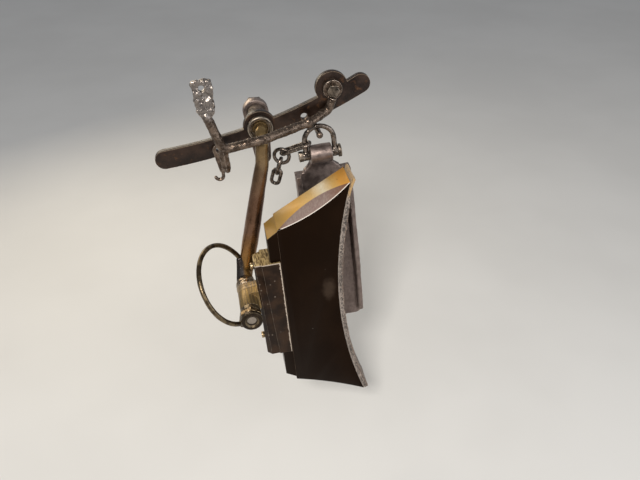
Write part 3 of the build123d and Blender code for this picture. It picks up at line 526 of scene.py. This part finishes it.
def leather(name):
    """Rough grey-brown leather, fibrous and speckled, browner where rubbed and golden at its tip."""
    material, tree, shader, place = new_material(name)
    fibres = noise_value(tree, stretched(tree, place, (1, 0.7, 0.6)), 2.0, 6, 0.75)
    clouds = noise_value(tree, place, 14, 3)
    colour = mix(tree, ramp(tree, clouds, 0.3, 0.7), *LEATHER_COLOURS)
    colour = mix(tree, ramp(tree, fibres, 0.43, 0.56), LEATHER_PIT, colour)
    specks = ramp(tree, spots(tree, place, 2.8), 0.12, 0.3, 0.8, 0)
    colour = mix(tree, specks, colour, LEATHER_SPECK)
    skin = times(tree, attribute(tree, "skin"), ramp(tree, fibres, 0.3, 0.6, 0.3, 0.9))
    colour = mix(tree, skin, colour, LEATHER_SKIN)
    rubbed = mix(tree, ramp(tree, fibres, 0.3, 0.65), *LEATHER_RUBBED)
    colour = mix(tree, times(tree, attribute(tree, "worn"), 0.85), colour, rubbed)
    tip = times(tree, attribute(tree, "tip"), ramp(tree, fibres, 0.3, 0.55, 0.2, 1))
    colour = mix(tree, tip, colour, LEATHER_TIP)
    fringe = times(tree, attribute(tree, "fringe"), ramp(tree, fibres, 0.4, 0.6))
    colour = mix(tree, fringe, colour, LEATHER_FRINGE)
    link(tree, shader, Base_Color=colour, Normal=bump(tree, fibres, 0.6))
    shader.inputs["Roughness"].default_value = LEATHER_ROUGHNESS
    shader.inputs["Sheen Weight"].default_value = LEATHER_SHEEN
    return material


# Meshes


def edited(mesh, change):
    """Open a mesh for editing, change it by a function, and write it back."""
    edit = bmesh.new()
    edit.from_mesh(mesh)
    change(edit)
    edit.to_mesh(mesh)
    edit.free()


def join_doubles(edit):
    """Join the points that lie on each other."""
    bmesh.ops.remove_doubles(edit, verts=edit.verts, dist=DOUBLED * MM)


def face_outwards(edit):
    """Turn all faces outwards."""
    bmesh.ops.recalc_face_normals(edit, faces=edit.faces)


def add_piece(name, mesh):
    """An object of that name with a mesh."""
    mesh.name = name
    piece = bpy.data.objects.new(name, mesh)
    scene.collection.objects.link(piece)
    return piece


def copied(node):
    """A new piece with a copy of a CAD node's mesh, its doubled points joined."""
    mesh = nodes[node].data.copy()
    mesh.materials.clear()
    edited(mesh, join_doubles)
    return add_piece(node + "_dressed", mesh)


def apply_modifiers(piece):
    """Turn a piece's modifiers into plain mesh."""
    graph = bpy.context.evaluated_depsgraph_get()
    mesh = bpy.data.meshes.new_from_object(piece.evaluated_get(graph))
    old = piece.data
    piece.modifiers.clear()
    piece.data = mesh
    mesh.name = piece.name
    bpy.data.meshes.remove(old)


def finish_piece(piece, node, material):
    """Dress a piece in a material and let it stand for its CAD node, on that node's body."""
    piece.data.materials.clear()
    piece.data.materials.append(material)
    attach(piece, body_of[node])
    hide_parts(node)


def store(piece, name, domain, values):
    """Store a value on each face or point under a name that materials read."""
    piece.data.attributes.new(name, "FLOAT", domain).data.foreach_set("value", values)


def mark_faces(piece, name, test):
    """Store on each face how far a test of its middle in millimetres and its normal holds."""
    faces = piece.data.polygons
    store(piece, name, "FACE", [float(test(face.center / MM, face.normal)) for face in faces])


def mark_points(piece, name, test):
    """Store on each point how far a test of its place in millimetres holds."""
    points = piece.data.vertices
    store(piece, name, "POINT", [float(test(vertex.co / MM)) for vertex in points])


def move_points(piece, move):
    """Put each point where a function of its place in millimetres says."""
    for vertex in piece.data.vertices:
        vertex.co = move(vertex.co / MM) * MM


def cut_off(edit, place, way):
    """Take off all beyond a place in millimetres in one direction, and close the cut."""
    cut = bmesh.ops.bisect_plane(
        edit, geom=edit.verts[:] + edit.edges[:] + edit.faces[:], plane_co=Vector(place) * MM,
        plane_no=way, clear_outer=True,
    )["geom_cut"]
    rim = [part for part in cut if isinstance(part, bmesh.types.BMEdge)]
    bmesh.ops.edgeloop_fill(edit, edges=rim)
    face_outwards(edit)


def bevelled(node, width, material, marks=(), cut=None, move=None):
    """A node's piece with its sharp edges rounded to a width in millimetres, and marked.

    A cut is a place and the direction in which all beyond it is taken off. Move puts a point
    elsewhere. Both are in millimetres.
    """

    def flatten_and_cut(edit):
        """Make flat faces one, and take off what is beyond the cut."""
        bmesh.ops.dissolve_limit(edit, angle_limit=FLAT, verts=edit.verts, edges=edit.edges)
        if cut:
            cut_off(edit, *cut)

    piece = copied(node)
    if move:
        move_points(piece, move)
    edited(piece.data, flatten_and_cut)
    # A second slot, so that the bevels' faces are known by theirs
    piece.data.materials.append(material)
    piece.data.materials.append(material)
    modifier = piece.modifiers.new("bevel", "BEVEL")
    modifier.width = width * MM
    modifier.segments = 2
    modifier.limit_method = "ANGLE"
    modifier.angle_limit = BEVELLED
    modifier.harden_normals = True
    modifier.material = 1
    for face in piece.data.polygons:
        face.use_smooth = True
    apply_modifiers(piece)
    edges = [float(face.material_index) for face in piece.data.polygons]
    store(piece, "edge", "FACE", edges)
    piece.data.polygons.foreach_set("material_index", [0] * len(edges))
    piece.data.set_sharp_from_angle(angle=SHARP)
    for name, test in marks:
        mark_faces(piece, name, test)
    finish_piece(piece, node, material)


def waves(point, sizes):
    """The height in millimetres of several layers of noise at a point, each a size and a depth."""
    height = 0.0
    for layer, (size, depth) in enumerate(sizes):
        height += depth * noise.noise((point + Vector((layer * LAYER_SHIFT, 0, 0))) / (size * MM))
    return height


def tapered(edit, ends, sides=32):
    """Add a tapered round bar to a mesh, each end given by middle, direction and radius."""
    rings = []
    for middle, way, radius in ends:
        turn = Vector(way).to_track_quat("Z", "Y")
        ring = []
        for step in range(sides):
            angle = math.tau * step / sides
            spoke = turn @ Vector((math.cos(angle), math.sin(angle), 0)) * radius
            ring.append(edit.verts.new((Vector(middle) + spoke) * MM))
        rings.append(ring)
    root, tip = rings
    faces = [edit.faces.new(root), edit.faces.new(tip)]
    for step in range(sides):
        after = (step + 1) % sides
        faces.append(edit.faces.new((root[step], root[after], tip[after], tip[step])))
    bmesh.ops.recalc_face_normals(edit, faces=faces)


def forged(node, voxel, sizes, material, smooth=2, shape=None, marks=(), move=None, bar=None):
    """A node's piece with rounded edges and an uneven, hammered skin, marked.

    Voxel is the grid in millimetres on which the mesh is made anew, and sizes are the layers of
    its waves. Shape adds to the height at a point and move puts a point elsewhere, both in
    millimetres. A bar is a tapered one that is grown together with the piece.
    """
    piece = copied(node)
    if bar:
        edited(piece.data, lambda edit: tapered(edit, bar))
    remesh = piece.modifiers.new("remesh", "REMESH")
    remesh.mode = "VOXEL"
    remesh.voxel_size = voxel * MM
    soften = piece.modifiers.new("soften", "SMOOTH")
    soften.iterations = smooth
    soften.factor = 0.5
    apply_modifiers(piece)
    if move:
        move_points(piece, move)
    for name, test in marks:
        mark_points(piece, name, test)
    mesh = piece.data
    points = [vertex.co.copy() for vertex in mesh.vertices]
    normals = [vertex.normal.copy() for vertex in mesh.vertices]
    moved = []
    for point, normal in zip(points, normals):
        height = waves(point, sizes)
        if shape:
            height += shape(point / MM)
        moved.extend(point + normal * height * MM)
    mesh.vertices.foreach_set("co", moved)
    mesh.update()
    mesh.polygons.foreach_set("use_smooth", [True] * len(mesh.polygons))
    finish_piece(piece, node, material)


def smooth_step(value, low, high):
    """Nought below low, one above high, and a smooth rise between."""
    share = min(max((value - low) / (high - low), 0.0), 1.0)
    return share * share * (3 - 2 * share)


# Arm and knuckle


def off_line(point, start, end):
    """Distance of a point from a straight line, and what share of the line lies behind it."""
    start = Vector(start)
    run = Vector(end) - start
    share = min(max((point - start).dot(run) / run.length_squared, 0.0), 1.0)
    return (point - start - run * share).length, share


def horn_mark(point):
    """How far a point of the arm belongs to its horn."""
    far, share = off_line(point, PIN_ROOT, HORN_TIP)
    reach = HORN_ROOT_RADIUS * (1 - share) + HORN_TIP_RADIUS * share
    inside = smooth_step(reach + HORN_MARGIN - far, 0, HORN_FADE)
    return smooth_step(-point.y, *HORN_FROM_Y) * smooth_step(-point.x, *HORN_FROM_X) * inside


def rings_mark(point):
    """Whether a point of the arm lies on the knuckle pin and its rings."""
    return point.y < PIN_FROM


def pin_end_mark(point):
    """Whether a point of the arm lies at the knuckle pin's end."""
    return point.y < PIN_END_FROM


def swollen(point):
    """A point of the rings on the pin, a little further from its axis."""
    if point.y > RING_ZONE[0] or point.y < RING_ZONE[1]:
        return point
    across = (point.x - PIN_X) * RING_SWELL
    up = (point.z - PIN_Z) * RING_SWELL
    return Vector((PIN_X + across, point.y, PIN_Z + up))


def on_crown(middle, normal):
    """Whether a face is on the nut's round crown."""
    return middle.y < CROWN_FROM


def crown_edge(middle, normal):
    """How far a face of the nut is rubbed: a little where it slopes forwards."""
    return CROWN_WEAR if CROWN_SLOPES[0] < -normal.y < CROWN_SLOPES[1] else 0.0


def pin_nut():
    """The nut on the knuckle pin: six-sided, with a groove and a round crown, hollow in front."""
    corners = []
    for reach, y, six_sided in NUT_PROFILE:
        for turn in range(NUT_SIDES):
            angle = math.tau * turn / NUT_SIDES
            off_flat = (angle + math.pi / 6) % (math.pi / 3) - math.pi / 6
            radius = reach / (1 + six_sided * (math.cos(off_flat) - 1))
            x = PIN_X + radius * math.cos(angle)
            z = PIN_Z + radius * math.sin(angle)
            corners.append((x * MM, y * MM, z * MM))
    rings = len(NUT_PROFILE)
    faces = []
    for ring in range(rings):
        here = ring * NUT_SIDES
        there = (ring + 1) % rings * NUT_SIDES
        for turn in range(NUT_SIDES):
            after = (turn + 1) % NUT_SIDES
            faces.append((here + turn, here + after, there + after, there + turn))
    mesh = bpy.data.meshes.new("pin_nut_dressed")
    mesh.from_pydata(corners, [], faces)
    edited(mesh, face_outwards)
    mesh.polygons.foreach_set("use_smooth", [True] * len(mesh.polygons))
    mesh.set_sharp_from_angle(angle=NUT_SHARP)
    piece = add_piece("pin_nut_dressed", mesh)
    mark_faces(piece, "front", on_crown)
    mark_faces(piece, "edge", crown_edge)
    finish_piece(piece, "pin_nut", barrel_steel)


# Block and holder


def faces_up(middle, normal):
    """Whether a face looks upwards and isn't in a hollow chamfer: where the painted top reflection
    goes.
    """
    return normal.z > UPWARDS and normal.y > SCOOP_NORMAL[0][1]


def in_scoop(middle, normal):
    """Whether a face is in a hollow chamfer."""
    (low, high), least = SCOOP_NORMAL
    leans = low < normal.y < high and abs(normal.z) > least
    return leans and middle.y > BLOCK_OUTSIDE + SCOOP_STARTS


def on_lip(middle, normal):
    """Whether a face is in the upper hollow chamfer, whose lower edge gets a painted highlight."""
    return in_scoop(middle, normal) and normal.z > 0


def on_rim(middle, normal):
    """Whether a face is the rounded edge below the upper hollow chamfer, which gets a painted
    highlight.
    """
    (low, high), least = RIM_NORMAL
    leans = low < normal.y < high and normal.z > least
    return leans and middle.y < BLOCK_OUTSIDE + RIM_ENDS


def plate_side(middle, normal):
    """Whether a face is on the holder's outer side."""
    return normal.y < -OUTWARDS


def holder_eye(middle, normal):
    """Whether a face is on the holder's eye or the lug that carries it."""
    return middle.dot(Vector(BACK_WAY)) > EYE_START


def holder_top(middle, normal):
    """Whether a face is on the holder's top, where a painted warm reflection goes."""
    return normal.z > UPWARDS and middle.z > TOP_FROM


# Facing


def above_skin(point):
    """How far a point of the facing lies from its skin, towards the wheel."""
    return SKIN_RADIUS - math.hypot(point.x - FACE_X, point.z - FACE_Z)


def skin_mark(point):
    """How far a point of the facing lies against the block."""
    return smooth_step(-above_skin(point), *SKIN_FADE)


def worn_mark(point):
    """How far a point of the facing lies on the side that rubs on the wheel."""
    return smooth_step(above_skin(point) - FACING_THICK, *WORN_FADE)


def tip_mark(point):
    """How far a point of the facing lies at its top."""
    return smooth_step(point.z, *TIP_FROM)


def fringe_mark(point):
    """How far a point of the facing lies on its outer edge near the top."""
    edge = smooth_step(above_skin(point) - FACING_THICK, *FRINGE_FADE)
    return smooth_step(point.z, *FRINGE_FROM) * edge


def bent_tip(point):
    """The facing's top thinned and bent away from the block."""
    rise = max(point.z - BEND_FROM, 0)
    thinner = THIN_SHARE * above_skin(point) * smooth_step(point.z, *THIN_FROM)
    return Vector((point.x + BEND * rise * rise - thinner, point.y, point.z))


def tufts(point):
    """Small tufts that stand out of the facing's edge."""
    return sum(
        high * math.exp(-(point - Vector(place)).length_squared / TUFT_SPREAD)
        for place, high in TUFTS
    )


# Keeper iron and drag shoe


def pad_mark(point):
    """How far a point belongs to the keeper iron's pad."""
    return smooth_step(point.z, *PAD_FROM) if point.x < PAD_X else 0.0


def by_hook(point):
    """How much is taken off near the shackle's hook."""
    return -HOOK_THINNER if (point - Vector(HANG_PLACE)).length < HOOK_ZONE else 0.0


def pad_lumps(point):
    """Deeper hammering on the keeper iron's pad, and a slimmer hook."""
    if point.x > PAD_X or point.z < PAD_FROM[0]:
        return by_hook(point)
    return pad_mark(point) * waves(point * MM, PAD_WAVES)


def level_shoulders(point):
    """The drag shoe's cheeks cut off level with its shoulders."""
    across_way = Vector((math.cos(HANG_LEAN), 0, math.sin(HANG_LEAN)))
    rise_way = Vector((-math.sin(HANG_LEAN), 0, math.cos(HANG_LEAN)))
    away = point - Vector(HANG_PLACE)
    rise = away.dot(rise_way)
    if abs(away.dot(across_way)) < SHOULDER_REACH or rise < SHOULDER_RISE:
        return point
    return point + rise_way * (SHOULDER_RISE - rise)


# The materials themselves

black_iron = iron(
    "black_iron", (0.010, 0.005, 0.003), (0.03, 0.016, 0.010), (0.2, 0.14, 0.09), (0.3, 0.5),
    metallic=0.1, patch=22, pits=0.1, gloss=1.35, rust=(0.075, 0.034, 0.014),
)
# The holder's top mark gets a gold tint and gold stripes: a painted warm reflection
holder_iron = iron(
    "holder_iron", (0.012, 0.0055, 0.0026), (0.032, 0.016, 0.008), (0.45, 0.37, 0.3), (0.38, 0.52),
    metallic=0, patch=18, pits=0.1, gloss=1.25, lines=worn_lines, metal="eye",
    parts=(("eye", (0.26, 0.175, 0.08)), ("top", (0.13, 0.08, 0.03))), bands=("eye", EYE_BANDS),
    stripes=(("top", (0.46, 0.33, 0.15), 1.0), ("eye", (0.42, 0.28, 0.1), 0.6)),
)
ring_steel = iron(
    "ring_steel", (0.14, 0.1, 0.066), (0.3, 0.23, 0.15), (0.62, 0.5, 0.36), (0.24, 0.4),
    patch=6, pits=0.14,
)
bolt_steel = iron(
    "bolt_steel", (0.24, 0.17, 0.09), (0.45, 0.33, 0.18), (0.75, 0.62, 0.42), (0.25, 0.4),
    patch=5, pits=0.1,
)
keeper_skin = iron(
    "keeper_skin", (0.055, 0.037, 0.026), (0.165, 0.12, 0.09), (0.72, 0.61, 0.52), (0.18, 0.36),
    patch=7, pits=0.3, wear=(0.5, 0.62), parts=(("pad", (0.22, 0.195, 0.18)),),
)
brown_iron = iron(
    "brown_iron", (0.055, 0.026, 0.013), (0.18, 0.095, 0.05), (0.5, 0.36, 0.24), (0.18, 0.32),
    patch=18, pits=0.06, wear=(0.56, 0.66), heights=ARM_COLOURS,
    parts=(("horn", (0.045, 0.04, 0.038)), ("ring", (0.24, 0.175, 0.11)), ("tip", (0.3, 0.26, 0.22))),
)
bow_iron = iron(
    "bow_iron", (0.06, 0.042, 0.024), (0.17, 0.125, 0.07), (0.55, 0.46, 0.33), (0.22, 0.38),
    patch=12, pits=0.1, wear=(0.54, 0.66),
)
barrel_steel = iron(
    "barrel_steel", (0.075, 0.048, 0.024), (0.22, 0.145, 0.07), (0.6, 0.46, 0.28), (0.24, 0.4),
    patch=7, parts=(("front", (0.02, 0.014, 0.0095)),),
)
worn_steel = iron(
    "worn_steel", (0.055, 0.043, 0.033), (0.17, 0.135, 0.105), (0.42, 0.36, 0.29), (0.24, 0.42),
    patch=6,
)
chain_steel = iron(
    "chain_steel", (0.06, 0.047, 0.038), (0.22, 0.18, 0.15), (0.8, 0.72, 0.64), (0.16, 0.3),
    patch=5, pits=0.15, wear=(0.51, 0.6),
)
shoe_iron = iron(
    "shoe_iron", (0.17, 0.13, 0.115), (0.25, 0.195, 0.175), (0.68, 0.58, 0.5), (0.34, 0.5),
    patch=9, pits=0.14, wear=(0.52, 0.62),
)
block_lacquer = lacquer("block_lacquer")
facing_leather = leather("facing_leather")

# The pieces: forged ones with their grid and waves, and bevelled ones with their edges' width
forged(
    "keeper_iron", 0.75, ((6, 0.5), (2.6, 0.3)), keeper_skin, shape=pad_lumps,
    marks=(("pad", pad_mark),),
)
forged("strap_hook", 0.6, ((5, 0.3), (2, 0.12)), keeper_skin)
forged(
    "brake_arm", 1.0, ((30, 0.5), (9, 0.18)), brown_iron, bar=HORN, move=swollen,
    marks=(("horn", horn_mark), ("ring", rings_mark), ("tip", pin_end_mark)),
)
forged("bow", 0.7, ((20, 0.3), (5, 0.12)), bow_iron)
forged("shackle", 0.7, ((6, 0.3), (2.4, 0.14)), chain_steel, shape=by_hook)
forged("chain", 0.55, ((5, 0.3), (2, 0.12)), chain_steel)
forged("drag_shoe", 1.3, ((28, 0.6), (7, 0.3)), shoe_iron, move=level_shoulders)
forged(
    "facing", 0.9, ((14, 0.5), (3, 0.5), (1.6, 0.3)), facing_leather, smooth=1, shape=tufts,
    move=bent_tip,
    marks=(("skin", skin_mark), ("worn", worn_mark), ("tip", tip_mark), ("fringe", fringe_mark)),
)
bevelled("sill_iron", 0.8, black_iron)
bevelled("bearing", 0.5, worn_steel)
bevelled("keeper_bolt", 0.6, worn_steel)
bevelled("pin_ring", 0.4, ring_steel, move=swollen)
pin_nut()
bevelled("lever", 0.8, shoe_iron)
bevelled("lever_nut", 0.8, worn_steel)
# The block's and packing's marks carry painted light: a warm reflection on the up-facing tops, a grey
# reflection in the hollow chamfers, and a highlight on the rim and lip
bevelled(
    "brake_block", 0.6, block_lacquer,
    marks=(("top", faces_up), ("scoop", in_scoop), ("rim", on_rim), ("lip", on_lip)),
)
bevelled("packing", 0.6, block_lacquer, marks=(("top", faces_up),))
bevelled(
    "holder", 0.7, holder_iron, cut=TOP_SLOPE,
    marks=(("top", holder_top), ("eye", holder_eye), ("side", plate_side)),
)
bevelled("clamp_bolts", 0.5, bolt_steel)
bevelled("shackle_pin", 0.5, worn_steel)

# Floor, light and camera
floor_mesh = bpy.data.meshes.new("floor")
floor_corners = [(x * FLOOR_REACH, y * FLOOR_REACH, 0) for x, y in ((-1, -1), (1, -1), (1, 1), (-1, 1))]
floor_mesh.from_pydata(floor_corners, [], [(0, 1, 2, 3)])
floor = add_piece("floor", floor_mesh)
floor.location = (0, 0, FLOOR_HEIGHT)
floor_material, floor_tree, floor_shader, floor_place = new_material("floor")
floor_clouds = ramp(floor_tree, noise_value(floor_tree, floor_place, FLOOR_CLOUD), 0.3, 0.7)
link(floor_tree, floor_shader, Base_Color=mix(floor_tree, floor_clouds, *FLOOR_COLOURS))
floor_shader.inputs["Roughness"].default_value = FLOOR_ROUGHNESS
floor_mesh.materials.append(floor_material)

scene.view_settings.view_transform = "Standard"
world = bpy.data.worlds.new("world")
world.use_nodes = True
world.node_tree.nodes["Background"].inputs["Color"].default_value = SKY_COLOUR
world.node_tree.nodes["Background"].inputs["Strength"].default_value = SKY_STRENGTH
scene.world = world
for light in LIGHTS:
    area_light(*light)
add_camera()
